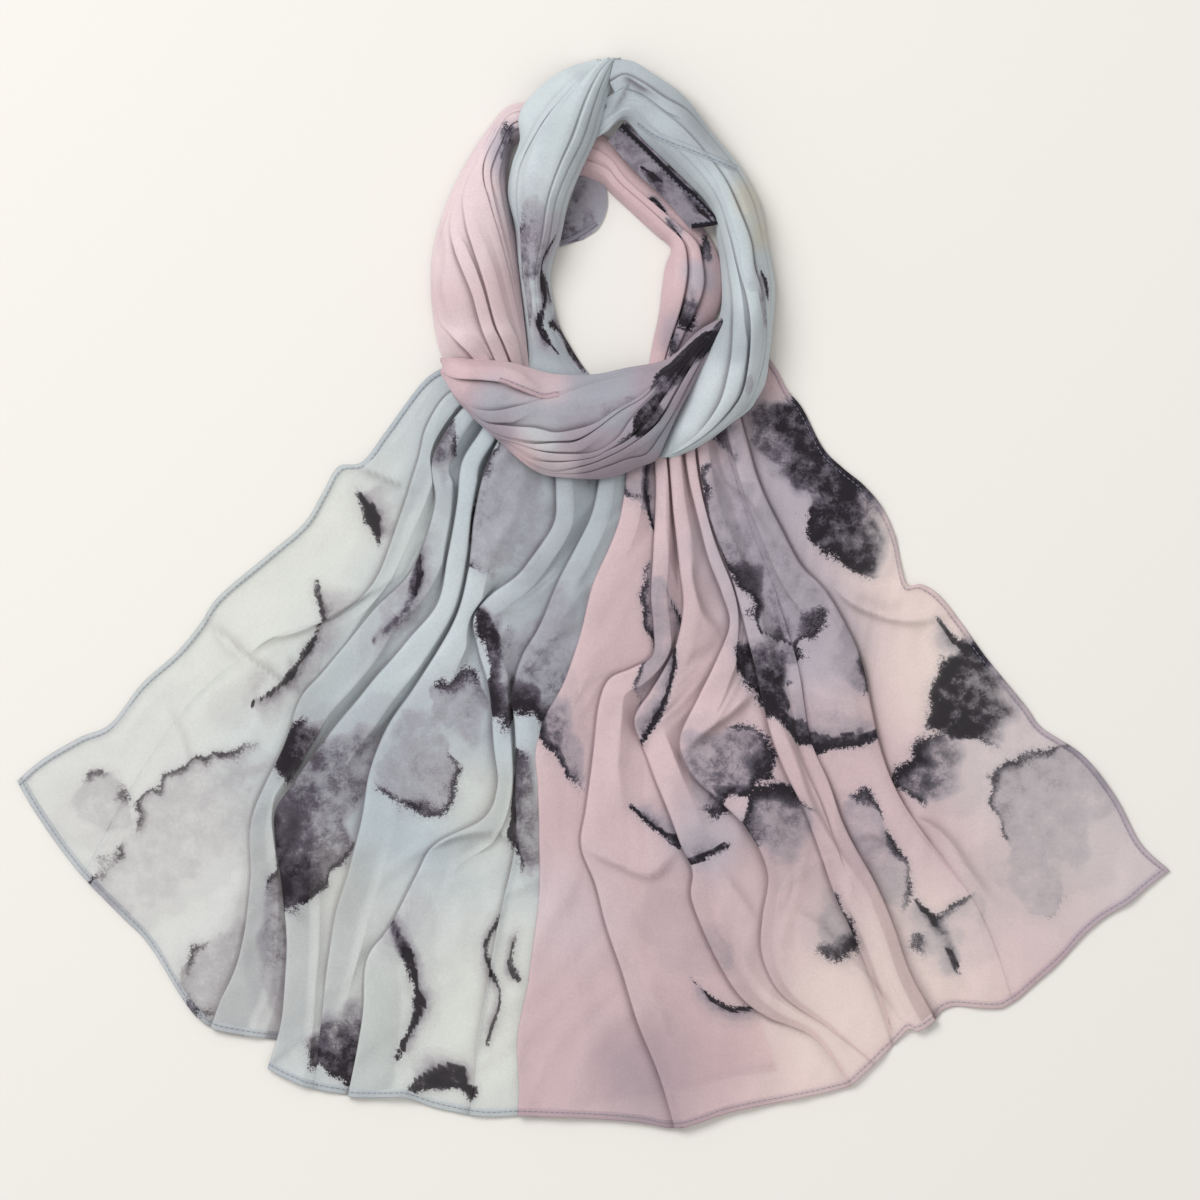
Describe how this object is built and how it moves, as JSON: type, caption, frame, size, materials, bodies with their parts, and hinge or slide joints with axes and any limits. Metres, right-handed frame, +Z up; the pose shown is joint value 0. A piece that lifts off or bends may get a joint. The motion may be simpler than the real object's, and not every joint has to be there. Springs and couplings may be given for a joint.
{
  "type": "chiffon scarf",
  "caption": "Long printed chiffon scarf, wound once as round a neck and laid out flat, its two pleated ends fanned out below the loop.",
  "frame": {"origin": "on the table, below the middle of the scarf's box", "axes": "+X to the right of the laid-out scarf, +Y towards the top of its loop, +Z up from the table"},
  "size_m": [0.666, 0.619, 0.0349],
  "materials": {
    "left_fall_cloth": "fine matte crepe chiffon, sheer where it is one layer",
    "inner_left_strand_cloth": "fine matte crepe chiffon, sheer where it is one layer",
    "outer_right_strand_cloth": "fine matte crepe chiffon, sheer where it is one layer",
    "front_band_cloth": "fine matte crepe chiffon, sheer where it is one layer",
    "outer_left_strand_cloth": "fine matte crepe chiffon, sheer where it is one layer",
    "inner_right_strand_cloth": "fine matte crepe chiffon, sheer where it is one layer",
    "right_fall_cloth": "fine matte crepe chiffon, sheer where it is one layer",
    "top_lappet_cloth": "fine matte crepe chiffon, sheer where it is one layer",
    "turned_edge_cloth": "fine matte crepe chiffon, sheer where it is one layer"
  },
  "bodies": {
    "root": {"left_fall": "left_fall_cloth", "inner_left_strand": "inner_left_strand_cloth", "outer_right_strand": "outer_right_strand_cloth", "front_band": "front_band_cloth", "outer_left_strand": "outer_left_strand_cloth", "inner_right_strand": "inner_right_strand_cloth", "right_fall": "right_fall_cloth", "top_lappet": "top_lappet_cloth", "turned_edge": "turned_edge_cloth"}
  },
  "joints": []
}
